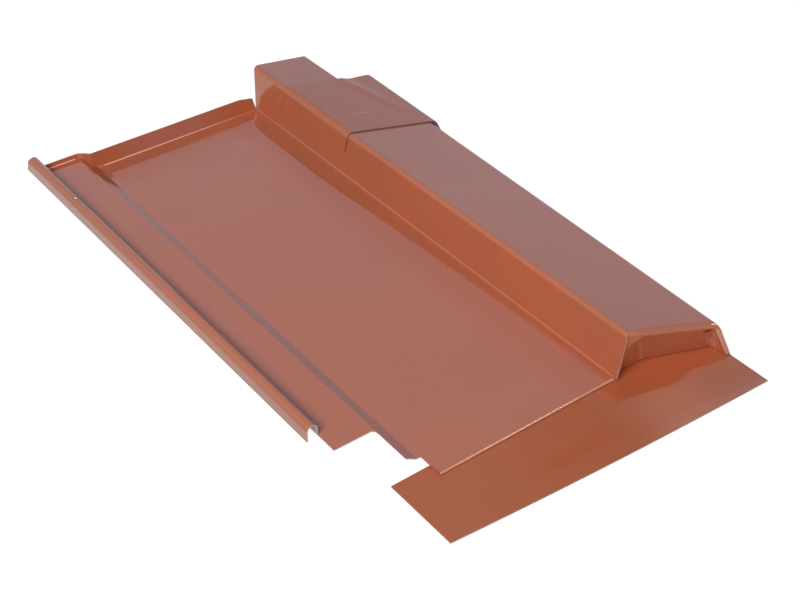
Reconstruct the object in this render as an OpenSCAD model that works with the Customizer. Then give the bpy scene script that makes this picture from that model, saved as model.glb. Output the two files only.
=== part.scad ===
// Coated sheet-metal roof tile for a solar mounting point: a flat pan with a
// raised ledge and a folded water bar on its left, a hollow hump on its right,
// an upstand at its back, a cap sheet over the hump and a loose front apron.
//
// The section is drawn in the pan's own coordinates: x = 0 at the pan's left
// front corner, y = 0 at its front edge, z = 0 on its upper face. place()
// moves every piece to the stored frame, centred on the ground.

/* [Sheet] */
// Thickness of the main sheet
sheet_t = 0.8; // [0.6:0.1:1.2]
// Bend radius of the sharp folds, on the upper face
fold_r = 1.2; // [0.8:0.1:2]
// Gap left between two sheets that lie on each other
lap_gap = 0.3; // [0.2:0.05:0.4]

/* [Pan] */
// Pan width, from the front corner to the foot of the hump wall
pan_w = 138.8; // [100:0.2:200]
// Pan length, from the front edge to the back upstand
pan_l = 410; // [320:1:480]
// Height of the upstand behind the pan
upstand_h = 13.6; // [8:0.2:20]
// Bend radius at the foot of the upstands
upstand_r = 1; // [0.6:0.1:1.2]
// Length of the slanted corner at the upstand's right end
upstand_corner_l = 15; // [6:1:30]
// How far the upstand's edge drops over that corner
upstand_corner_drop = 2.4; // [1:0.2:5]
// How far its end stands back from the hump wall at that height
upstand_end_gap = 3; // [1:0.5:6]
// Depth of the hem that is turned under the front edge
hem_d = 8; // [5:0.5:14]
// How far the pan's left edge stands out past the hem
hem_inset = 0.8; // [0:0.1:2]

/* [Ledge] */
// Height of the ledge above the pan
ledge_h = 4.6; // [3:0.2:8]
// Sideways run of the sloping step between pan and ledge
step_run = 8; // [5:0.2:12]
// Distance of the step's lower crease from the pan's corner
step_x = 3.6; // [2:0.1:8]
// Flat width of the ledge
ledge_w = 29.4; // [20:0.2:45]
// Distance of the ledge's front edge from the pan's front edge
ledge_front = 49; // [30:0.5:80]
// Radius in the corner between the ledge's front edge and the step
notch_r = 3; // [0:0.5:6]
// Distance of the step's front edge from the pan's front edge
step_front = 18.2; // [10:0.2:25]
// How far the ledge runs on behind the pan's upstand
ledge_back = 14; // [8:0.5:20]
// Height of the small upstand behind the ledge, above the ledge
ledge_upstand_h = 3.8; // [2:0.2:8]
// How far the corner of that upstand stands out past the step's upper crease
corner_out = 1.6; // [0:0.2:4]
// Radius of the corner, in plan
corner_r = 5; // [2:0.5:8]
// How far the return from the corner to the pan's upstand runs out to the right
return_run = 2; // [0:0.2:4]

/* [Water bar] */
// Width of the folded bar at the left edge, over its outer faces
bar_w = 8; // [6:0.2:12]
// Height of the bar above the ledge
bar_h = 9.8; // [7:0.2:14]
// How far the outer leg reaches below the ledge's upper face
bar_drop = 1.6; // [0.8:0.2:3.4]
// How far the bar starts behind the ledge's front edge
bar_setback = 16; // [5:0.5:40]
// How far the bar runs on behind the ledge's upstand
bar_back = 10.5; // [0:0.5:16]
// How far the bar's back end leans forward, from its foot to its top
bar_end_run = 4; // [0:0.5:6]

/* [Hump] */
// Height of the hump's left edge above the pan
hump_h = 37.9; // [25:0.1:60]
// Sideways lean of the left wall, per unit of height
wall_lean = 0.02; // [0:0.01:0.3]
// Width of the hump's top at the front, from its left edge to its right edge
hump_top_w = 61.6; // [45:0.2:80]
// Angle at which the right edge runs out to the right, towards the back
hump_taper = 1.6; // [0:0.1:3]
// Fall of the top to the right, per unit of width
top_fall = 0.15; // [0:0.01:0.25]
// Outward lean of the right leg, per unit of height
leg_lean = 0.475; // [0.1:0.005:0.6]
// Bend radius along the left edge of the top
hump_r = 3.6; // [2:0.2:9]
// Bend radius along the right edge of the top
leg_r = 4.4; // [2:0.2:9]
// How far the hump runs on behind the pan's upstand
hump_back = 2.5; // [1:0.5:8]
// Top width of the narrow neck at the back
neck_top_w = 48.4; // [30:0.2:54]
// Bend radius along the right edge of the neck
neck_r = 3; // [2:0.2:6]
// Length of the neck at the back
neck_l = 60; // [35:1:75]

/* [Hump end] */
// Forward skew of the hump's front edge, in degrees
end_skew = 17.8; // [0:0.2:25]
// How far the hump's upper front edge stands out in front of its foot
end_overhang = 5.3; // [0:0.1:8]
// Backward lean of the end wall, in degrees from the vertical
end_lean = 28.2; // [12:0.2:36]
// Bend radius between the top and the end wall
end_r = 3.4; // [1:0.5:6]
// Distance of the left facet's foot from the pan's front edge, at the wall
facet_foot = 5.4; // [2:0.2:10]
// Turn of the left facet towards the pan, in degrees
facet_turn = 2.4; // [0:0.2:10]
// Backward lean of the left facet
facet_lean = 19; // [5:0.2:24]
// Distance of the cheek's foot from the wall, where the facet turns in behind it
cheek_x = 2; // [1:0.2:5]
// Turn of that cheek towards the pan
cheek_turn = 42; // [20:1:60]
// Backward lean of the cheek
cheek_lean = 12; // [5:0.5:20]
// Distance of the right facet's foot from the wall
facet_r_x = 71.6; // [50:0.2:90]
// How far that foot lies in front of the pan's front edge
facet_r_y = 12.7; // [0:0.1:20]
// Turn of the right facet towards the pan
facet_r_turn = 80; // [60:1:88]
// Backward lean of the right facet
facet_r_lean = 25.6; // [15:0.2:32]
// How far the left facet's upper end lies behind the bend between top and end
bend_clearance = 0.1; // [0.1:0.1:0.5]
// How far the right facet's edge lies behind the raw edge of the right leg
end_setback = 0.6; // [0.3:0.1:1.5]
// Length of the notch in the end wall's upper right corner
notch_l = 5.4; // [3:0.2:9]
// Height of that notch, below the bend
notch_h = 3.6; // [1:0.2:5]

/* [Cap] */
// Thickness of the cap sheet
cap_t = 0.8; // [0.6:0.1:1.2]
// Length of the cap along the left wall
cap_l = 84; // [60:1:120]
// Distance of the cap's back edge from the hump's back end
cap_from_back = 43.5; // [30:0.5:50]
// How far the cap's top stands out past the hump's right edge
cap_over = 3.2; // [1:0.2:8]
// Height of the cap's left skirt, down from the hump's upper edge
cap_skirt_l = 17.6; // [10:0.2:28]
// Height of the cap's right skirt
cap_skirt_r = 12; // [6:0.5:18]
// How far the left skirt's front edge slants back, down to its lower corner
cap_slant = 4.4; // [0:0.2:10]
// Skew of the cap's front edge, in degrees
cap_front_skew = 8.4; // [0:0.2:15]
// Skew of the cap's back edge, in degrees
cap_back_skew = 6; // [0:0.5:15]

/* [Apron] */
// Thickness of the apron sheet
apron_t = 0.8; // [0.6:0.1:2]
// How far the apron's left end stands out past the pan's corner
apron_left = 28; // [10:0.5:45]
// Distance of the apron's right end from the hump wall's foot
apron_right = 76.8; // [60:0.2:110]
// Reach of the apron in front of the pan, at its left end
apron_reach_l = 43.8; // [30:0.2:80]
// Reach of the apron in front of the pan, at its right end
apron_reach_r = 57.5; // [30:0.5:90]
// Bulge of the apron's front edge between its two ends
apron_bulge = 1.7; // [0:0.1:4]
// How far the apron lies in under the pan
apron_lap = 11; // [8:0.5:20]

/* [Hidden] */

// Steps in an arc and in the apron's front edge
ARC_STEPS = 8;
EDGE_STEPS = 12;
// How far a cut runs past what it cuts, and a length past the whole section
EPS = 1;
FAR = 200;
// Overlap that fuses the two halves of the cap
SEAM = 0.05;

// Share of the hump's top that belongs to the straight left part of the sheet
SPLIT_SHARE = 1 / 3;

// Levels
hem_gap = sheet_t;
hem_bottom = -2 * sheet_t - hem_gap;
ground = hem_bottom - apron_t;
hump_foot_z = hem_bottom + lap_gap;

// Section corners, from the water bar to the middle of the hump's top
step_top_x = -step_x - step_run;
bar_in_x = step_top_x - ledge_w;
bar_out_x = bar_in_x - bar_w;
bar_top = ledge_h + bar_h;
wall_top_x = pan_w + wall_lean * hump_h;
split_x = wall_top_x + hump_top_w * SPLIT_SHARE;
neck_right_x = wall_top_x + neck_top_w;

// Plan of the corner behind the ledge, and the level of the step's upper face
corner_x = step_top_x + corner_out;
corner_start = corner_x - corner_r;
return_x = corner_x + return_run;
function step_z(x) = ledge_h * (-step_x - x) / step_run;

// Lengths along y
ledge_end = pan_l + ledge_back;
bar_end = ledge_end + bar_back;
hump_end = pan_l + hump_back;
neck_start = hump_end - neck_l;
cap_back = hump_end - cap_from_back;
cap_front = cap_back - cap_l;
pan_cut = fold_r + sheet_t;

// Height of the hump's top plane over x
function top_z(x) = hump_h - top_fall * (x - wall_top_x);
top_slope = atan(top_fall);
leg_angle = atan(leg_lean);

leg_turn = leg_angle + top_slope;
long_leg = 2 * hump_h;

// The tapered hump's right edge at y = 0, and where its leg meets the ground
// at the back: leg_run is the leg's length there, taken on the slant
right_half_w = hump_top_w * (1 - SPLIT_SHARE) / cos(top_slope);
leg_top = [wall_top_x + hump_top_w, top_z(wall_top_x + hump_top_w)];
edge_run = neck_start * tan(hump_taper);
leg_run = (leg_top.y - ground - edge_run * sin(top_slope))
    / (sin(leg_turn) * sin(top_slope) / cos(hump_taper) + cos(leg_turn) * cos(top_slope));
hump_foot_x = leg_top.x + (edge_run + leg_run * sin(leg_turn) / cos(hump_taper)) * cos(top_slope)
    - leg_run * cos(leg_turn) * sin(top_slope);

// Front edge of the apron, s = 0 at its left end and 1 at its right end
apron_right_x = pan_w + apron_right;
function apron_reach(s) =
    apron_reach_l + (apron_reach_r - apron_reach_l) * s + apron_bulge * 4 * s * (1 - s);
apron_front = [
    for (i = [0 : EDGE_STEPS])
        let (s = i / EDGE_STEPS)
        [-apron_left + (apron_left + apron_right_x) * s, -apron_reach(s)]
];

// Middle of the footprint, which place() puts on the stored origin
middle = [
    (bar_out_x + hump_foot_x) / 2,
    (max(bar_end, hump_end) + min([for (p = apron_front) p.y])) / 2
];

// ---- sheet outlines ---------------------------------------------------

function unit(v) = v / norm(v);

function turn(u, v) = u.x * v.y - u.y * v.x;

// Arc of radius r in the corner b between the sides b-a and b-c
function bend(a, b, c, r) =
    let (
        u = unit(a - b),
        v = unit(c - b),
        half = acos(u * v) / 2,
        centre = b + unit(u + v) * r / sin(half),
        start = b + u * r / tan(half) - centre,
        from = atan2(start.y, start.x),
        sweep = (180 - 2 * half) * sign(turn(b - a, c - b))
    )
    [
        for (i = [0 : ARC_STEPS])
            let (at = from + sweep * i / ARC_STEPS)
            centre + r * [cos(at), sin(at)]
    ];

// The path without the points that repeat the one before them
function distinct(path) = [
    for (i = [0 : len(path) - 1])
        if (i == 0 || norm(path[i] - path[max(i, 1) - 1]) > 0.001) path[i]
];

// A path with its inner corners bent to the radii given for them
function bent(path, radii) = distinct([
    for (i = [0 : len(path) - 1])
        each i == 0 || i == len(path) - 1
            ? [path[i]]
            : bend(path[i - 1], path[i], path[i + 1], radii[i - 1])
]);

// The path moved sideways by d, to the right of its direction
function moved(path, d) = [
    for (i = [0 : len(path) - 1])
        let (
            into = unit(path[max(i, 1)] - path[max(i, 1) - 1]),
            out = unit(path[min(i, len(path) - 2) + 1] - path[min(i, len(path) - 2)]),
            mid = unit(into + out)
        )
        path[i] + [mid.y, -mid.x] * d / (mid * into)
];

function reversed(path) = [for (i = [len(path) - 1 : -1 : 0]) path[i]];

// Closed outline of a sheet of thickness t under its upper face
function sheet_outline(face, t) = concat(face, reversed(moved(face, t)));

// Upper face of the bar, ledge, step, pan and left wall, up to the hump's top
function left_face(right_x) = [
    [bar_out_x, ledge_h - bar_drop],
    [bar_out_x, bar_top],
    [bar_in_x, bar_top],
    [bar_in_x, ledge_h],
    [step_top_x, ledge_h],
    [-step_x, 0],
    [pan_w, 0],
    [wall_top_x, hump_h],
    [right_x, top_z(right_x)]
];
left_radii = [bar_w / 2, bar_w / 2, fold_r, fold_r, fold_r, fold_r, hump_r];

// The hump's top past the split line, and a right leg of the length given,
// seen in a frame on the edge between them
function leg_face(leg_l) = [
    [-hump_top_w, 0],
    [0, 0],
    leg_l * [sin(leg_turn), -cos(leg_turn)]
];

// ---- helpers ----------------------------------------------------------

module place() {
    translate([-middle.x, -middle.y, -ground]) children();
}

// A section drawn in x and z, run along y
module along_y(from, to) {
    translate([0, to, 0]) rotate([90, 0, 0]) linear_extrude(to - from) children();
}

// A section drawn in y and z, run along x
module along_x(from, to) {
    translate([from, 0, 0]) rotate([90, 0, 90]) linear_extrude(to - from) children();
}

// A plan run up and down past the whole tile
module upright() {
    translate([0, 0, -FAR]) linear_extrude(2 * FAR) children();
}

// A box from lo to hi
module box(lo, hi) {
    translate(lo) cube(hi - lo);
}

// Frame on the hump's top: x to the right from the split line, z out of the top
module on_top() {
    translate([split_x, 0, top_z(split_x)]) rotate([0, top_slope, 0]) children();
}

// Frame on the hump's tapered right edge, y along the edge to the back
module on_right_edge() {
    on_top() translate([right_half_w, 0, 0]) rotate([0, 0, -hump_taper]) children();
}

// What lies to the right of the split line in the hump's top
module right_of_split() {
    difference() {
        children();
        on_top() box([-2 * FAR, -FAR, -FAR], [0, 3 * FAR, FAR]);
    }
}

// ---- bent sheet -------------------------------------------------------

// Left part of the sheet, with the hump's top up to the split line
module left_part(from, to) {
    along_y(from, to) polygon(sheet_outline(bent(left_face(split_x), left_radii), sheet_t));
}

// Right part of the hump, tapered and run down past the ground
module right_part(from, to) {
    right_of_split() on_right_edge() along_y(from, to)
        polygon(sheet_outline(bent(leg_face(long_leg), [leg_r]), sheet_t));
}

// The narrow neck, over the whole width of the sheet
module neck_part(from, to) {
    foot = (top_z(neck_right_x) - ground + EPS) * [leg_lean, -1];
    face = concat(left_face(neck_right_x), [[neck_right_x, top_z(neck_right_x)] + foot]);
    along_y(from, to) polygon(sheet_outline(bent(face, concat(left_radii, [neck_r])), sheet_t));
}

// Plan of the room in front of the bar, the ledge, the step and the pan
module front_plan() {
    left = bar_out_x - EPS;
    bar_side = bar_in_x + pan_cut;
    polygon(bent([
        [left, -FAR],
        [left, ledge_front + bar_setback],
        [bar_side, ledge_front + bar_setback],
        [bar_side, ledge_front],
        [step_top_x, ledge_front],
        [step_top_x, step_front],
        [-hem_inset, step_front],
        [-hem_inset, hem_d],
        [0, hem_d],
        [0, pan_cut],
        [pan_w, pan_cut],
        [pan_w, -FAR]
    ], [0, 0, 0, notch_r, 0, 0, 0, 0, 0, 0]));
}

// The ledge's flat edge in front of the bar, where its inner fold is cut off
module ledge_edge() {
    box([bar_in_x, ledge_front, ledge_h - sheet_t], [bar_in_x + pan_cut, ledge_front + bar_setback, ledge_h]);
}

// What is cut away at the back, behind each stretch of the section
module back_cuts() {
    far_y = 3 * FAR;
    box([bar_in_x + EPS, ledge_end - fold_r, -FAR], [corner_start, far_y, FAR]);
    upright() polygon(concat(
        moved(return_path(), -sheet_t),
        [[-step_x, pan_l], [-step_x, far_y], [corner_start, far_y]]
    ));
    box([-step_x, pan_l - fold_r, -FAR], [pan_w - fold_r, far_y, FAR]);
    box([pan_w - fold_r - EPS, hump_end, -FAR], [2 * FAR, far_y, FAR]);
}

// What is cut away behind the bar's leaning back end
module bar_end_cut() {
    lean = atan(bar_end_run / (bar_h + bar_drop));
    translate([0, bar_end, ledge_h - bar_drop]) rotate([lean, 0, 0])
        box([bar_out_x - EPS, 0, -FAR], [bar_in_x + 2 * EPS, FAR, FAR]);
}

// Hem turned under the front edge of the pan
module front_hem() {
    hem_r = -hem_bottom / 2;
    face = bent([[hem_d, hem_bottom], [0, hem_bottom], [0, 0], [pan_cut, 0]], [hem_r, hem_r]);
    along_x(0, pan_w) polygon(sheet_outline(face, sheet_t));
}

// Sheet that turns up at y = at from the level given, to a height above it
module turned_up(at, level, height) {
    face = bent([[at - fold_r, level], [at, level], [at, level + height]], [upstand_r]);
    polygon(sheet_outline(face, sheet_t));
}

// Upstand behind the pan, its right end cut off at a slant
module pan_upstand() {
    right = pan_w - fold_r;
    intersection() {
        along_x(-step_x, pan_w) turned_up(pan_l, 0, upstand_h);
        along_y(pan_l - 2 * fold_r, pan_l + 2 * sheet_t) polygon([
            [-step_x, -2 * sheet_t],
            [right, -2 * sheet_t],
            [right, sheet_t / 2],
            [right - upstand_end_gap, upstand_h - upstand_corner_drop],
            [right - upstand_corner_l, upstand_h],
            [-step_x, upstand_h]
        ]);
    }
    along_y(pan_l, pan_l + sheet_t) polygon([
        [return_x, step_z(return_x) - sheet_t],
        [-step_x, -sheet_t],
        [-step_x, upstand_h],
        [return_x, upstand_h]
    ]);
}

// Plan of the upstand's inner face round the corner and back to the pan's upstand
function return_path() = bent(
    [[corner_start, ledge_end], [corner_x, ledge_end], [return_x, pan_l]],
    [corner_r]
);

// The upstand's corner, which rises towards the pan's upstand
module ledge_corner() {
    intersection() {
        upright() polygon(concat(return_path(), reversed(moved(return_path(), -sheet_t))));
        along_y(pan_l, ledge_end + 2 * sheet_t) polygon([
            [corner_start, ledge_h - sheet_t],
            [step_top_x, ledge_h - sheet_t],
            [-step_x, -sheet_t],
            [-step_x, upstand_h],
            [corner_start, upstand_h]
        ]);
        along_x(corner_start, -step_x) polygon([
            [pan_l, -sheet_t],
            [ledge_end + 2 * sheet_t, -sheet_t],
            [ledge_end + 2 * sheet_t, ledge_h + ledge_upstand_h],
            [ledge_end - sheet_t, ledge_h + ledge_upstand_h],
            [pan_l, upstand_h]
        ]);
    }
}

// Low upstand behind the ledge
module ledge_upstand() {
    along_x(bar_in_x, corner_start) turned_up(ledge_end, ledge_h, ledge_upstand_h);
}

// ---- front end of the hump --------------------------------------------

raw_lean = atan(end_overhang / hump_h);
end_edge_l = hump_top_w / cos(top_slope) / cos(end_skew);
end_bend_run = end_r / tan((90 - end_lean) / 2);
function end_bend_r(lean, setback) = (end_bend_run - setback) * tan((90 - lean) / 2);
left_bend_run = hump_r * tan((90 - atan(wall_lean) + top_slope) / 2);
right_bend_run = leg_r * tan((90 - leg_turn) / 2);

// Frame on the hump's upper front edge: x along the edge, z out of the top
module on_end_edge() {
    skew_in_top = atan(tan(end_skew) * cos(top_slope));
    translate([wall_top_x, -end_overhang, hump_h])
        rotate([0, top_slope, 0])
            rotate([0, 0, -skew_in_top])
                children();
}

// What is cut away in front of the hump's raw edge, which leans out over its foot
module front_of_hump() {
    difference() {
        box([pan_w - fold_r, -FAR, -FAR], [2 * FAR, hump_h, FAR]);
        behind_bent_wall(raw_lean, 0, end_bend_r(raw_lean, 0), 0);
    }
}

// The room of the hump near its front, from the middle of the left wall's sheet
// to the right leg's outer face, above the apron
module hump_body(from, to) {
    left_side = [
        [pan_w + wall_lean * hump_foot_z + sheet_t / 2, hump_foot_z],
        [wall_top_x + sheet_t / 2, top_z(wall_top_x + sheet_t / 2)],
        [split_x, top_z(split_x)]
    ];
    difference() {
        union() {
            along_y(from, to) polygon(concat(bent(left_side, [hump_r]), [[split_x, hump_foot_z]]));
            right_of_split() on_right_edge() along_y(from, to)
                polygon(concat(bent(leg_face(long_leg), [leg_r]), [[-hump_top_w, -long_leg]]));
        }
        box([0, -FAR, -FAR], [2 * FAR, FAR, hump_foot_z]);
    }
}

// The room behind a wall bent down from the top with the radius given, leaning
// back and set back from the upper front edge; inset moves its faces inwards
module behind_bent_wall(lean, setback, radius, inset) {
    foot = long_leg * [sin(lean), -cos(lean)];
    face = bent([[setback, 0] + foot, [setback, 0], [long_leg, 0]], [radius]);
    on_end_edge() along_x(-FAR, FAR) polygon(concat(moved(face, inset), [[long_leg, -long_leg]]));
}

// The room behind a flat plate, turned towards the pan and leaning back over
// the foot that it is given
module behind_plate(foot, turned, lean, inset) {
    translate([foot.x, foot.y, hump_foot_z]) rotate([0, 0, -turned]) rotate([lean, 0, 0])
        box([-FAR, inset, -FAR], [FAR, FAR, FAR]);
}

// The room behind the whole end: end wall, left facet with its cheek, and right facet
module end_room(inset) {
    cheek_foot = [pan_w + cheek_x, facet_foot - cheek_x * tan(facet_turn)];
    behind_bent_wall(end_lean, 0, end_r, inset);
    intersection() {
        behind_plate(cheek_foot, facet_turn, facet_lean, inset);
        behind_plate(cheek_foot, cheek_turn, cheek_lean, inset);
        behind_bent_wall(0, end_bend_run - end_r + bend_clearance, end_r, inset);
    }
    intersection() {
        behind_plate([pan_w + facet_r_x, -facet_r_y], facet_r_turn, facet_r_lean, inset);
        behind_bent_wall(raw_lean, end_setback, end_bend_r(raw_lean, end_setback), inset);
    }
}

// The room that the bend between top and end wall takes out of the top
module end_bend_room() {
    on_end_edge() box(
        [left_bend_run, -EPS, -sheet_t - EPS],
        [end_edge_l - right_bend_run, end_bend_run, EPS]
    );
}

// Notch that lets the end wall bend down beside the right leg
module end_notch() {
    right = end_edge_l - right_bend_run;
    top = -end_bend_run * cos(end_lean);
    on_end_edge() box([right - notch_l, -EPS, top - notch_h], [right, 2 * end_bend_run, top]);
}

// The end's bent sheet: its whole room less the room inside it
module end_sheet() {
    difference() {
        intersection() {
            hump_body(-FAR / 2, hump_h / 2);
            end_room(0);
        }
        end_room(sheet_t);
        end_notch();
    }
}

// ---- the whole sheet --------------------------------------------------

module tile_sheet() {
    color([0.62, 0.37, 0.30]) place() {
        difference() {
            union() {
                left_part(-FAR / 2, neck_start);
                difference() {
                    right_part(-FAR / 2, pan_l);
                    box([0, neck_start, -FAR], [2 * FAR, 3 * FAR, FAR]);
                }
                neck_part(neck_start, bar_end);
            }
            upright() front_plan();
            front_of_hump();
            back_cuts();
            bar_end_cut();
            end_bend_room();
            box([wall_top_x, -FAR, -FAR], [2 * FAR, 3 * FAR, ground]);
            box([split_x, -FAR, -FAR], [2 * FAR, apron_lap + lap_gap, hump_foot_z]);
        }
        front_hem();
        ledge_edge();
        pan_upstand();
        ledge_upstand();
        ledge_corner();
        end_sheet();
    }
}

// ---- cap --------------------------------------------------------------

cap_lift = lap_gap + cap_t;

// Left half of the cap: skirt, bend and top, run on a little past the split line
module cap_left(from, to) {
    skirt_z = hump_h - cap_skirt_l;
    face = moved([
        [pan_w + wall_lean * skirt_z, skirt_z],
        [wall_top_x, hump_h],
        [split_x + SEAM, top_z(split_x + SEAM)]
    ], -cap_lift);
    along_y(from, to) polygon(sheet_outline(bent(face, [hump_r + cap_lift]), cap_t));
}

// Right half of the cap: top, bend and skirt, parallel to the hump's right leg
module cap_right(from, to) {
    face = moved(leg_face(cap_skirt_r), -cap_lift);
    right_of_split() on_right_edge() translate([cap_over, 0, 0]) along_y(from, to)
        polygon(sheet_outline(bent(face, [leg_r + cap_lift]), cap_t));
}

// Plan of the cap between its skewed ends
module cap_plan() {
    left = pan_w - hump_h;
    right = 2 * FAR;
    polygon([
        [left, cap_front + (wall_top_x - left) * tan(cap_front_skew)],
        [right, cap_front + (wall_top_x - right) * tan(cap_front_skew)],
        [right, cap_back + (wall_top_x - right) * tan(cap_back_skew)],
        [left, cap_back + (wall_top_x - left) * tan(cap_back_skew)]
    ]);
}

// What is cut away in front of the left skirt's slanted edge
module cap_slant_cut() {
    along_x(pan_w - 4 * cap_lift, wall_top_x) polygon([
        [cap_front, hump_h - hump_r],
        [cap_front + cap_slant, hump_h - cap_skirt_l],
        [cap_front + cap_slant, 0],
        [cap_front - hump_h, 0],
        [cap_front - hump_h, hump_h - hump_r]
    ]);
}

module hump_cap() {
    color([0.56, 0.36, 0.32]) place() difference() {
        intersection() {
            union() {
                cap_left(cap_front - FAR / 2, cap_back + FAR / 2);
                cap_right(cap_front - FAR / 2, cap_back + FAR / 2);
            }
            upright() cap_plan();
        }
        cap_slant_cut();
    }
}

// ---- apron ------------------------------------------------------------

module front_apron() {
    color([0.60, 0.33, 0.26]) place() translate([0, 0, ground]) linear_extrude(apron_t)
        polygon(concat(apron_front, [[apron_right_x, apron_lap], [-apron_left, apron_lap]]));
}

tile_sheet();
hump_cap();
front_apron();
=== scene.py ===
"""The looks of a folded metal roof tile: camera, studio, coated sheet, and the cap pressed over the hump."""

from math import exp, radians

import bmesh
import bpy
from mathutils import Euler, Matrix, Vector


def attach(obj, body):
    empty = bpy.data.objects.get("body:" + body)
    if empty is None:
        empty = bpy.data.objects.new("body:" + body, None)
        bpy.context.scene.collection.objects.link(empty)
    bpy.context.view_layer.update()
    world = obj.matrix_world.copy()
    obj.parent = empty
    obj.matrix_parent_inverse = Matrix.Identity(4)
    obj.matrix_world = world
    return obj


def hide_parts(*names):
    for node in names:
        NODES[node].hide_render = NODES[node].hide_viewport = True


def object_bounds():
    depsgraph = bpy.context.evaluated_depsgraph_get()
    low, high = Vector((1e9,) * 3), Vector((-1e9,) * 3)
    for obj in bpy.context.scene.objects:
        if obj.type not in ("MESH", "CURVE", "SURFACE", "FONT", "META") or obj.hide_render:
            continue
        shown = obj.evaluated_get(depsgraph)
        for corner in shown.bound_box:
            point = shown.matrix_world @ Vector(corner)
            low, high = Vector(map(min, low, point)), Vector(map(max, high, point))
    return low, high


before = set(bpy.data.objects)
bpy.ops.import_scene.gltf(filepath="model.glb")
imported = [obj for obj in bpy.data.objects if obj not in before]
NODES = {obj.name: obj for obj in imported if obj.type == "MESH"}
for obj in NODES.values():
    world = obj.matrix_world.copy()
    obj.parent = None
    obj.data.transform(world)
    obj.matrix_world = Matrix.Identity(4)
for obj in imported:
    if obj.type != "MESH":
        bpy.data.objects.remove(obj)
CAD_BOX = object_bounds()

# ---- the sheet's own millimetres: X across from the pan's left edge, Y back from its front, Z up ----
MM = 0.001
PAN_CORNER_IN_BOX = Vector((48.98, 57.5, 3.2))
PAN_CORNER = CAD_BOX[0] + PAN_CORNER_IN_BOX * MM
WALL_X = 138.8
PAN_L = 410.0

# ---- camera: a short telephoto lens that looks down on the pan from its front left ----
CAMERA_AT = (-0.47169, -0.65201, 0.59996)
CAMERA_TURN = (51.9961, -0.1137, -37.2414)
CAMERA_LENS = 65.48
CAMERA_SENSOR = 36.0
CAMERA_CLIP = 0.01

# ---- colours, linear ----
COAT = (0.420, 0.117, 0.053)
COAT_DULL = (0.392, 0.113, 0.053)
COAT_DARKENED = (0.285, 0.085, 0.042)
DEEP_PAINTED_REFLECTION = (0.410, 0.090, 0.031)
ROSY_PAINTED_SHEEN = (0.380, 0.155, 0.130)
BACK_COAT = (0.20, 0.13, 0.10)
LIP_PAINTED_HIGHLIGHT = (0.60, 0.30, 0.19)
RAW_METAL = (0.44, 0.38, 0.34)
RAW_EDGE_IN_PAINTED_SHADE = (0.15, 0.11, 0.11)
BARE_METAL = (0.85, 0.85, 0.80)
SEAM_PAINTED_SHADE = (0.10, 0.03, 0.012)
SCORCH = (0.10, 0.08, 0.08)
PAINTED_GLINT = (0.78, 0.46, 0.38)
SCRATCHED = (0.46, 0.32, 0.29)
WHITE = (1.0, 1.0, 1.0)
COOL_LIGHT = (0.2, 0.35, 1.0)
FLOOR_PLAIN = (0.80, 0.80, 0.80)
FLOOR_FAINT = (0.30, 0.30, 0.30)

# ---- studio: white to the camera and in reflections; all other light meets a plain floor and a dim sky ----
FLOOR_SIZE = 14.0
FLOOR_BELOW = 0.0004
FLOOR_GLOW = 0.9
BACKDROP_LEVEL = 1.0
SKY_LEVEL = 0.04
SOFTBOX_DISTANCE = 2.2
SOFTBOXES = (  # name, azimuth, elevation, size, power, colour
    ("key_softbox", 210.0, 41.0, 1.1, 47.5, WHITE),
    ("front_softbox", 238.0, 18.0, 1.1, 7.0, WHITE),
    ("rear_softbox", 48.0, 38.0, 2.1, 3.6, COOL_LIGHT),
    ("fold_light", 308.0, 39.0, 0.3, 2.5, WHITE),
)

# ---- coating: a clear film over a flat pigment; scales of the noise are per mm, depths in mm ----
CLOUD_SCALE = 0.012
CLOUD_DETAIL = 3.0
CLOUD_RANGE = (0.35, 0.75)
GRAIN_SCALE = 1.6
GRAIN_DETAIL = 2.0
GRAIN_RANGE = (0.2, 0.8)
PEEL_STRENGTH = 0.12
PEEL_DEPTH = 0.02
SWELL_SCALE = 0.02
SWELL_DETAIL = 1.0
SHEET_SWELL = 0.05
APRON_SWELL = 0.4
PIGMENT_ROUGHNESS = (0.42, 0.55)
PIGMENT_SPECULAR = 0.08
FILM_ROUGHNESS = 0.1
FILM_IOR = 1.5
SHEET_FILM = 0.9
CAP_FILM = 0.75

# ---- slopes of the film beside the wall, as (Y, width, slope) near and far, and in front of the upstand ----
LIFT_FROM = 40.0
LIFT_NARROW = (60.0, 4.5, 0.26)
LIFT_WIDE = (300.0, 17.0, 0.16)
LIFT_EDGE = (2.5, 1.5)
REAR_LIFT = (15.0, 0.12)
REAR_EDGE = 7.0
TOP_TILT = 0.1

# ---- the apron's film: how it tilts and how glossy it is, from one X to another ----
APRON_TILT_X = (165.0, 192.0)
APRON_TILT = (-0.14, -0.26)
APRON_LEFT_X = (90.0, -10.0)
APRON_LEFT_FILM = (0.06, 0.35)
APRON_HUMP_X = (104.0, 142.0)
APRON_HUMP_FILM = (0.0, 0.95)
DRIFT_PER_METRE = 14.0
DRIFT_DETAIL = 1.0
DRIFT = 30.0

# ---- regions of the sheet, by place (x, y, z in mm) and by the way the surface faces (nx, ny, nz) ----
# Two numbers are a smooth step from 0 at the first to 1 at the second. Three are a band with soft edges.
# The weight, 1 if it isn't given, is the most that the region counts.
PAN_FACE = {"z": (0.4, 0.3)}
PAN_BEYOND_STEP = {"z": (0.4, 0.3), "x": (-1.0, 1.0)}
STEP_LEANING = {"nx": (0.2, 0.4), "x": (-13.0, -2.0, 0.5), "weight": 0.25}
NECK_LEANING = {"z": (20.0, 22.0), "y": (150.0, 400.0), "weight": -TOP_TILT}
APRON_LEANING = {"y": (-60.0, -40.0)}

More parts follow.
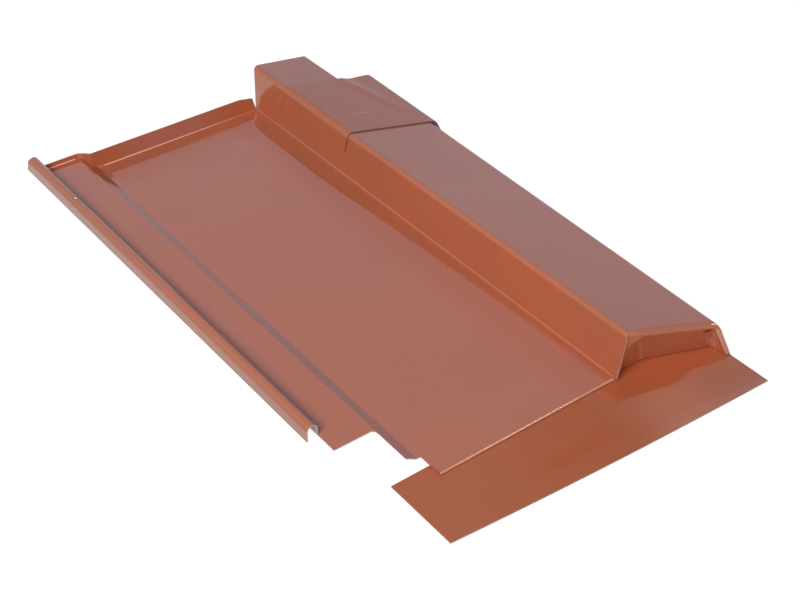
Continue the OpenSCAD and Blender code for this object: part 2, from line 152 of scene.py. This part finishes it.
UNDERSIDE = {"nz": (-0.6, -0.8)}
BAR_INSIDE = {"nx": (-0.5, -0.8), "x": (-43.0, -39.0, 0.3)}
# Darker coat on the bar's outer face and the end bend, and painted shade on the hump's top.
BAR_OUTSIDE = {"nx": (-0.6, -0.98), "x": (-44.0, -46.0)}
END_BEND = {"ny": (-0.1, -0.4), "nz": (0.1, 0.3), "x": (145.0, 150.0), "weight": 0.6}
HUMP_TOP = {"nz": (0.9, 0.97), "z": (20.0, 24.0), "weight": 0.25}

LEDGE_FRONT_EDGE = {"ny": (-0.93, -0.96), "x": (10.0, 5.0), "y": (-8.0, 70.0, 1.0), "z": (0.4, 0.8)}
LEDGE_LEFT_EDGE = {"nx": (-0.93, -0.96), "x": (-43.0, -38.0, 0.5), "y": (66.0, 64.0)}
WALL_FRONT_EDGE = {"ny": (-0.93, -0.96), "x": (137.4, 140.8, 0.2), "y": (-8.0, 70.0, 1.0)}
CAP_FRONT_EDGE = {"ny": (-0.85, -0.95)}
APRON_CUT_EDGES = {"nz": (-0.5, 0.5, 0.1)}

# Some gloss and shade that this studio doesn't give is painted as colour and stays put in every view: the
# upstand's sheen, the pale folds, lip and creases, the dark seams, and the apron's patch and streak.
UPSTAND_PAINTED_SHEEN = {"ny": (-0.6, -0.8), "x": (24.0, 98.0, 18.0), "y": (405.0, 408.0), "weight": 0.5}
REAR_FOLD = {"nx": (-0.1, 0.1, 0.05), "ny": (-0.8, -0.3, 0.05), "x": (125.0, 40.0), "y": (405.0, 408.0),
             "weight": 0.9}
STEP_END = {"x": (-13.0, 2.0, 1.5)}
FRONT_LIP = {"ny": (-0.2, -0.5), "x": (-1.0, 137.6, 0.5), "y": (8.0, 4.0), "z": (-1.3, 0.2, 0.25),
             "weight": 0.7}
UNDER_LIP = {"x": (-1.0, 137.6, 0.5), "y": (8.0, 4.0), "z": (-1.7, -2.2), "weight": 0.6}
HUMP_END = {"ny": (-0.7, -0.8), "y": (8.0, 4.0)}
HUMP_END_FOOT = {"x": (141.0, 143.0), "y": (30.0, 20.0), "z": (-1.0, -1.3), "weight": 0.75}
APRON_DARKER_RIGHT = {"x": (160.0, 195.0), "weight": 0.5}
APRON_REFLECTION_PATCH = {"x": (114.0, 134.0), "y": (-34.0, -12.0), "weight": 0.85}
APRON_REFLECTION_STREAK = {"x": (50.0, 104.0, 16.0), "y": (-37.0, -27.0, 4.0), "weight": 0.6}

# ---- painted highlights on the creases in the hump's end, which lie along X + lean * Z, and on its right edge ----
CREASE_LEAN = 0.5
LEFT_CREASE = {"lean": (164.2, 165.8, 1.8), "z": (29.0, 22.0), "weight": 0.36}
RIGHT_CREASE = {"lean": (207.5, 210.5, 2.4), "z": (5.0, 12.0, 4.0), "weight": 0.3}
RIGHT_EDGE = {"nz": (-0.17, 0.0, 0.02), "x": (196.0, 200.0), "weight": 0.5}

# ---- marks: a bare nick on the bar with a scorched rim, and a faint scratch across the cap ----
NICK_AT = (-44.6, 363.0, 14.3)
NICK_R = 1.2
NICK_CORE_R = 0.96
NICK_RIM_R = 2.8
SCRATCH_X = (162.0, 177.0, 3.0)
SCRATCH_AT = 309.0
SCRATCH_SKEW = -0.195
SCRATCH_ACROSS = (1.0, 0.2)
SCRATCH_WEIGHT = 0.45

# ---- the cap: a soft crease that runs forwards from its rear, and a shallow sag right of its start ----
CAP_FINEST = 2.5
CAP_ROUNDS = 7
CREASE_FROM = Vector((187.5, 372.0))
CREASE_TO = Vector((201.0, 296.0))
CREASE_W = 4.0
CREASE_LIFT = 0.9
CREASE_FADE = 0.5
SAG_W = 9.0
SAG_DEPTH = 1.6
SAG_L = 34.0
SAG_FADE = 1.5

# ---- a tab behind the end wall's upper right corner, put there to keep the notch in shade ----
TUCK_AT = Vector((196.3, -18.5, 22.7))
TUCK_FACING = Vector((-0.33, -0.84, -0.43))
TUCK_SIZE = (11.0, 7.0)
TUCK_SEGMENTS = (8, 4)
TUCK_CURL = 2.0
TUCK_T = 0.5

# ---- sockets of Blender's colour mix node: factor, first and second colour, and its result ----
MIX_INPUTS = (0, 6, 7)
MIX_RESULT = 2


def rgba(colour):
    return (*colour, 1.0)


class NodeTree:
    """Short calls that build the nodes of one material or world."""

    def __init__(self, owner):
        owner.use_nodes = True
        self.tree = owner.node_tree
        self.tree.nodes.clear()

    def put(self, value, socket):
        """Link a socket's value, or set a constant one."""
        if isinstance(value, bpy.types.NodeSocket):
            self.tree.links.new(value, socket)
        else:
            socket.default_value = value

    def add(self, kind, inputs=None, **settings):
        node = self.tree.nodes.new(kind)
        for key, value in settings.items():
            setattr(node, key, value)
        for key, value in (inputs or {}).items():
            self.put(value, node.inputs[key])
        return node

    def math(self, operation, *values):
        return self.add("ShaderNodeMath", dict(enumerate(values)), operation=operation).outputs[0]

    def times(self, first, *others):
        for other in others:
            first = self.math("MULTIPLY", first, other)
        return first

    def most(self, first, *others):
        for other in others:
            first = self.math("MAXIMUM", first, other)
        return first

    def vector_math(self, operation, *values):
        return self.add("ShaderNodeVectorMath", dict(enumerate(values)), operation=operation).outputs

    def noise(self, place, scale, detail):
        inputs = {"Vector": place, "Scale": scale, "Detail": detail}
        return self.add("ShaderNodeTexNoise", inputs).outputs["Fac"]

    def ramp(self, value, low, high, to_low=0.0, to_high=1.0, kind="SMOOTHSTEP"):
        """A step of value from low to high, smooth unless kind says otherwise."""
        inputs = {"Value": value, "From Min": low, "From Max": high, "To Min": to_low, "To Max": to_high}
        return self.add("ShaderNodeMapRange", inputs, interpolation_type=kind).outputs["Result"]

    def band(self, value, low, high, soft):
        """1 where value lies between low and high, with soft edges."""
        rise = self.ramp(value, low - soft, low + soft)
        return self.times(rise, self.ramp(value, high + soft, high - soft))

    def mix(self, factor, first, second):
        node = self.add("ShaderNodeMix", data_type="RGBA")
        for value, index in zip((factor, first, second), MIX_INPUTS):
            self.put(value, node.inputs[index])
        return node.outputs[MIX_RESULT]

    def mix_shaders(self, factor, first, second):
        inputs = {0: factor, 1: first.outputs[0], 2: second.outputs[0]}
        return self.add("ShaderNodeMixShader", inputs).outputs[0]


class SheetTree(NodeTree):
    """A material's nodes, with the place on the sheet in metres and in its own mm, and the way it faces."""

    def __init__(self, material):
        super().__init__(material)
        self.place = self.add("ShaderNodeTexCoord").outputs["Object"]
        per_mm = tuple([1 / MM] * 3)
        self.where = self.vector_math("MULTIPLY_ADD", self.place, per_mm, tuple(-PAN_CORNER / MM))[0]
        normal = self.add("ShaderNodeNewGeometry").outputs["True Normal"]
        self.axes = {}
        for names, vector in ((("x", "y", "z"), self.where), (("nx", "ny", "nz"), normal)):
            self.axes.update(zip(names, self.add("ShaderNodeSeparateXYZ", {0: vector}).outputs))

    def region(self, weight=1.0, **limits):
        """A mask of one of the regions that are named above."""
        masks = []
        for axis, limit in limits.items():
            step = self.band if len(limit) == 3 else self.ramp
            masks.append(step(self.axes[axis], *limit))
        return self.times(*masks, weight)

    def paint(self, base, colour, mask):
        """The base colour, with another laid over it by a mask."""
        return self.mix(mask, base, rgba(colour))

    def slope(self, **axes):
        return self.add("ShaderNodeCombineXYZ", axes).outputs[0]

    def bump(self, height, strength, distance, **normal):
        inputs = {"Height": height, "Strength": strength, "Distance": distance, **normal}
        return self.add("ShaderNodeBump", inputs).outputs[0]


def seen_directly(tree):
    """1 for the rays that show a background as such: from the camera, or mirrored or passed on to it."""
    path = tree.add("ShaderNodeLightPath").outputs
    return tree.most(path["Is Camera Ray"], path["Is Glossy Ray"], path["Is Transmission Ray"])


def make_camera():
    data = bpy.data.cameras.new("camera")
    data.lens = CAMERA_LENS
    data.sensor_width = CAMERA_SENSOR
    data.clip_start = CAMERA_CLIP
    camera = bpy.data.objects.new("camera", data)
    camera.location = CAMERA_AT
    camera.rotation_euler = Euler([radians(angle) for angle in CAMERA_TURN])
    bpy.context.scene.collection.objects.link(camera)
    bpy.context.scene.camera = camera


def make_world():
    world = bpy.data.worlds.new("studio")
    bpy.context.scene.world = world
    tree = NodeTree(world)
    backdrop = tree.add("ShaderNodeBackground", {"Color": rgba(WHITE), "Strength": BACKDROP_LEVEL})
    light = tree.add("ShaderNodeBackground", {"Color": rgba(WHITE), "Strength": SKY_LEVEL})
    surface = tree.mix_shaders(seen_directly(tree), light, backdrop)
    tree.add("ShaderNodeOutputWorld", {"Surface": surface})


def make_floor():
    bpy.ops.mesh.primitive_plane_add(size=FLOOR_SIZE, location=(0, 0, CAD_BOX[0].z - FLOOR_BELOW))
    floor = bpy.context.object
    floor.name = "floor"
    material = bpy.data.materials.new("pale_floor")
    tree = NodeTree(material)
    plain = tree.add("ShaderNodeBsdfDiffuse", {"Color": rgba(FLOOR_PLAIN)})
    faint = tree.add("ShaderNodeBsdfDiffuse", {"Color": rgba(FLOOR_FAINT)})
    white = tree.add("ShaderNodeEmission", {"Color": rgba(WHITE), "Strength": FLOOR_GLOW})
    lit = tree.add("ShaderNodeAddShader", {0: faint.outputs[0], 1: white.outputs[0]})
    surface = tree.mix_shaders(seen_directly(tree), plain, lit)
    tree.add("ShaderNodeOutputMaterial", {"Surface": surface})
    floor.data.materials.append(material)


def softbox(name, azimuth, elevation, size, power, colour):
    """A round lamp that faces the tile from a direction in degrees."""
    data = bpy.data.lights.new(name, "AREA")
    data.shape = "DISK"
    data.size = size
    data.energy = power
    data.color = colour
    lamp = bpy.data.objects.new(name, data)
    turn = Euler((0.0, radians(90.0 - elevation), radians(azimuth)))
    direction = Vector((0, 0, 1))
    direction.rotate(turn)
    lamp.location = direction * SOFTBOX_DISTANCE
    lamp.rotation_euler = turn
    bpy.context.scene.collection.objects.link(lamp)


def wall_lift(sheet):
    """Slope of the film over the pan: it lifts towards the wall and drops level again near its foot."""
    (near_y, near_w, near_slope), (far_y, far_w, far_slope) = LIFT_NARROW, LIFT_WIDE
    inner, outer = LIFT_EDGE
    width = sheet.ramp(sheet.axes["y"], near_y, far_y, near_w, far_w, kind="LINEAR")
    slope = sheet.ramp(sheet.axes["y"], near_y, far_y, near_slope, far_slope, kind="LINEAR")
    gap = sheet.math("SUBTRACT", WALL_X, sheet.axes["x"])
    foot = sheet.math("SUBTRACT", width, inner)
    crest = sheet.math("ADD", width, outer)
    rise = sheet.ramp(gap, LIFT_FROM, crest, kind="LINEAR")
    return sheet.times(slope, sheet.region(**PAN_FACE), rise, sheet.ramp(gap, foot, crest))


def rear_lift(sheet):
    """Slope of the film in front of the upstand, which narrows the strip that is mirrored at its foot."""
    width, slope = REAR_LIFT
    gap = sheet.math("SUBTRACT", PAN_L, sheet.axes["y"])
    rise = sheet.ramp(gap, LIFT_FROM, width, 0.0, slope, kind="LINEAR")
    return sheet.times(sheet.region(**PAN_BEYOND_STEP), rise, sheet.ramp(gap, width - REAR_EDGE, width))


def sheet_tilt(sheet):
    """The folded sheet's film leans over beside the wall, in the step, before the upstand and on the neck."""
    lean = sheet.math("ADD", wall_lift(sheet), sheet.region(**STEP_LEANING))
    forwards = sheet.math("SUBTRACT", sheet.region(**NECK_LEANING), rear_lift(sheet))
    return sheet.slope(X=sheet.times(lean, -1.0), Y=forwards)


def cap_tilt(sheet):
    return sheet.slope(Y=-TOP_TILT)


def apron_tilt(sheet):
    """The apron's film falls away from the hump, so that it mirrors only the foot of the hump's end."""
    fall = sheet.times(sheet.region(**APRON_LEANING), sheet.ramp(sheet.axes["x"], *APRON_TILT_X, *APRON_TILT))
    return sheet.slope(X=fall, Y=fall)


def even_film(weight):
    """A film that is equally glossy all over."""
    return lambda sheet: weight


def apron_film(sheet):
    """The apron is matt in the middle, a little glossier at its left end, and glossiest beside the hump."""
    wander = sheet.noise(sheet.place, DRIFT_PER_METRE, DRIFT_DETAIL)
    drift = sheet.math("MULTIPLY_ADD", wander, DRIFT, -DRIFT / 2)
    across = sheet.math("ADD", sheet.axes["x"], drift)
    left = sheet.ramp(across, *APRON_LEFT_X, *APRON_LEFT_FILM)
    return sheet.math("ADD", left, sheet.ramp(across, *APRON_HUMP_X, *APRON_HUMP_FILM))


def sheet_marks(sheet, base):
    """Raw edges, the nick in the bar, a painted sheen, painted highlights on folds, lip and creases, and
    painted shade in seams.
    """
    edges = [sheet.region(**edge) for edge in (LEDGE_FRONT_EDGE, WALL_FRONT_EDGE, LEDGE_LEFT_EDGE)]
    base = sheet.paint(base, RAW_METAL, sheet.most(*edges))
    # Painted sheen: a rosy reflection laid on the upstand.
    base = sheet.paint(base, ROSY_PAINTED_SHEEN, sheet.region(**UPSTAND_PAINTED_SHEEN))
    away = sheet.vector_math("DISTANCE", sheet.where, NICK_AT)["Value"]
    base = sheet.paint(base, SCORCH, sheet.ramp(away, NICK_RIM_R, NICK_R))
    base = sheet.paint(base, BARE_METAL, sheet.ramp(away, NICK_R, NICK_CORE_R))
    beside_step = sheet.math("SUBTRACT", 1.0, sheet.region(**STEP_END))
    # Painted highlight along the fold at the foot of the upstand.
    base = sheet.paint(base, PAINTED_GLINT, sheet.times(sheet.region(**REAR_FOLD), beside_step))
    # Painted highlight along the front lip.
    base = sheet.paint(base, LIP_PAINTED_HIGHLIGHT, sheet.region(**FRONT_LIP))
    # Painted highlights on the creases of the hump's end.
    base = sheet.paint(base, PAINTED_GLINT, end_crease_glints(sheet))
    # Painted shade at the foot of the hump's end and under the front lip.
    return sheet.paint(base, SEAM_PAINTED_SHADE, sheet.most(sheet.region(**HUMP_END_FOOT), sheet.region(**UNDER_LIP)))


def end_crease_glints(sheet):
    """Painted highlights where the hump's end is creased: by its left facet, at its right corner and down its
    right edge.
    """
    sheet.axes["lean"] = sheet.math("MULTIPLY_ADD", sheet.axes["z"], CREASE_LEAN, sheet.axes["x"])
    creases = [sheet.region(**crease) for crease in (LEFT_CREASE, RIGHT_CREASE, RIGHT_EDGE)]
    return sheet.times(sheet.region(**HUMP_END), sheet.most(*creases))


def cap_marks(sheet, base):
    """A raw front edge, darkened by painted shade of the gap under it, and a short faint scratch."""
    # Painted shade on the cap's raw front edge.
    base = sheet.paint(base, RAW_EDGE_IN_PAINTED_SHADE, sheet.region(**CAP_FRONT_EDGE))
    along = sheet.math("SUBTRACT", sheet.axes["x"], SCRATCH_X[0])
    line = sheet.math("MULTIPLY_ADD", along, SCRATCH_SKEW, SCRATCH_AT)
    aside = sheet.math("ABSOLUTE", sheet.math("SUBTRACT", sheet.axes["y"], line))
    scratch = sheet.times(sheet.band(sheet.axes["x"], *SCRATCH_X), sheet.ramp(aside, *SCRATCH_ACROSS))
    return sheet.paint(base, SCRATCHED, sheet.times(scratch, SCRATCH_WEIGHT))


def apron_marks(sheet, base):
    """Raw edges, a darker right end, and a painted reflection beside the hump and along a faint streak."""
    base = sheet.paint(base, RAW_METAL, sheet.region(**APRON_CUT_EDGES))
    # Darker towards the apron's right end.
    base = sheet.paint(base, COAT_DARKENED, sheet.region(**APRON_DARKER_RIGHT))
    # Painted reflection: a deeper colour beside the hump and along a streak.
    return sheet.paint(base, DEEP_PAINTED_REFLECTION, sheet.most(sheet.region(**APRON_REFLECTION_PATCH), sheet.region(**APRON_REFLECTION_STREAK)))


def pigment(sheet, marks):
    """The colour under the film: faint clouds, darker parts with painted shade on the hump's top, the back
    coat, and the marks.
    """
    clouds = sheet.noise(sheet.where, CLOUD_SCALE, CLOUD_DETAIL)
    base = sheet.mix(sheet.ramp(clouds, *CLOUD_RANGE), rgba(COAT), rgba(COAT_DULL))
    # Darker coat on the bar's outer face and the end bend; on the hump's top it is painted shade.
    darkened_parts = [sheet.region(**part) for part in (BAR_OUTSIDE, END_BEND, HUMP_TOP)]
    base = sheet.paint(base, COAT_DARKENED, sheet.most(*darkened_parts))
    base = sheet.paint(base, BACK_COAT, sheet.region(**UNDERSIDE))
    base = sheet.paint(base, BACK_COAT, sheet.region(**BAR_INSIDE))
    return marks(sheet, base)


def film_normal(sheet, peel, swell, tilt):
    """The film's own surface: slow waves under the peel, leaning by its own slopes."""
    waves = sheet.times(sheet.noise(sheet.where, SWELL_SCALE, SWELL_DETAIL), swell)
    flow = sheet.bump(waves, 1.0, MM, Normal=peel)
    return sheet.vector_math("NORMALIZE", sheet.vector_math("ADD", flow, tilt(sheet))[0])[0]


def coated_sheet(name, tilt, marks, film=even_film(SHEET_FILM), swell=SHEET_SWELL):
    """Orange-brown coil coating: a clear glossy film over a flat pigment, on slightly wavy sheet."""
    material = bpy.data.materials.new(name)
    sheet = SheetTree(material)
    grain = sheet.noise(sheet.where, GRAIN_SCALE, GRAIN_DETAIL)
    peel = sheet.bump(grain, PEEL_STRENGTH, PEEL_DEPTH * MM)
    coat = sheet.add("ShaderNodeBsdfPrincipled", {
        "Base Color": pigment(sheet, marks),
        "Roughness": sheet.ramp(grain, *GRAIN_RANGE, *PIGMENT_ROUGHNESS),
        "IOR": FILM_IOR,
        "Specular IOR Level": PIGMENT_SPECULAR,
        "Coat Weight": film(sheet),
        "Coat Roughness": FILM_ROUGHNESS,
        "Coat IOR": FILM_IOR,
        "Normal": peel,
        "Coat Normal": film_normal(sheet, peel, swell, tilt),
    })
    sheet.add("ShaderNodeOutputMaterial", {"Surface": coat.outputs[0]})
    return material


def on_sheet(point):
    """A point of the part in the sheet's own millimetres."""
    return (point - PAN_CORNER) / MM


def cap_shape(point):
    """How far, in mm, the soft cap stands off its flat shape: a crease, and a sag right of its rear end."""
    flat = Vector((point.x, point.y))
    line = CREASE_TO - CREASE_FROM
    along = max(0.0, min(1.0, (flat - CREASE_FROM).dot(line) / line.length_squared))
    aside = (flat - CREASE_FROM - line * along).length
    crease = CREASE_LIFT * (1.0 - along) ** CREASE_FADE * exp(-(aside / CREASE_W) ** 2)
    rear = max(0.0, 1.0 - (CREASE_FROM.y - flat.y) / SAG_L)
    middle = CREASE_FROM.x + SAG_W
    sag = SAG_DEPTH * rear ** SAG_FADE * exp(-((flat.x - middle) / SAG_W) ** 2)
    return crease - sag


def divide_finely(work, longest):
    """Halve the edges of a mesh until none is longer than asked, within a few rounds."""
    bmesh.ops.triangulate(work, faces=work.faces)
    for _ in range(CAP_ROUNDS):
        long = [edge for edge in work.edges if edge.calc_length() > longest]
        if not long:
            break
        bmesh.ops.subdivide_edges(work, edges=long, cuts=1)
        bmesh.ops.triangulate(work, faces=work.faces)


def soft_cap(material):
    """The cap as pressed over the hump by hand: the CAD cap, finely divided, a little sagged and creased."""
    mesh = NODES["hump_cap"].data.copy()
    mesh.materials.clear()
    mesh.materials.append(material)
    work = bmesh.new()
    work.from_mesh(mesh)
    divide_finely(work, CAP_FINEST * MM)
    for vertex in work.verts:
        vertex.co.z += cap_shape(on_sheet(vertex.co)) * MM
    work.to_mesh(mesh)
    work.free()
    cap = bpy.data.objects.new("soft_cap", mesh)
    bpy.context.scene.collection.objects.link(cap)
    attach(cap, "root")
    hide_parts("hump_cap")


def shade_tab_behind_notch(material):
    """A small curved tab behind the notch in the end wall's upper right corner, to keep light out."""
    work = bmesh.new()
    bmesh.ops.create_grid(work, x_segments=TUCK_SEGMENTS[0], y_segments=TUCK_SEGMENTS[1], size=0.5)
    turn = TUCK_FACING.to_track_quat("Z", "Y")
    for vertex in work.verts:
        curl = -TUCK_CURL * vertex.co.x ** 2
        flat = Vector((vertex.co.x * TUCK_SIZE[0], vertex.co.y * TUCK_SIZE[1], curl))
        vertex.co = PAN_CORNER + (TUCK_AT + turn @ flat) * MM
    mesh = bpy.data.meshes.new("shade_tab_behind_notch")
    work.to_mesh(mesh)
    work.free()
    mesh.materials.append(material)
    tab = bpy.data.objects.new("shade_tab_behind_notch", mesh)
    bpy.context.scene.collection.objects.link(tab)
    skin = tab.modifiers.new("thickness", "SOLIDIFY")
    skin.thickness = TUCK_T * MM
    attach(tab, "root")


def dress(node, material):
    mesh = NODES[node].data
    mesh.materials.clear()
    mesh.materials.append(material)
    return NODES[node]


make_camera()
make_world()
make_floor()
for settings in SOFTBOXES:
    softbox(*settings)

sheet_coat = coated_sheet("coated_sheet", sheet_tilt, sheet_marks)
apron_coat = coated_sheet("coated_apron", apron_tilt, apron_marks, film=apron_film, swell=APRON_SWELL)
cap_coat = coated_sheet("coated_cap", cap_tilt, cap_marks, film=even_film(CAP_FILM))
dress("tile_sheet", sheet_coat)
dress("front_apron", apron_coat)
soft_cap(cap_coat)
shade_tab_behind_notch(sheet_coat)

bpy.context.scene.view_settings.view_transform = "Standard"
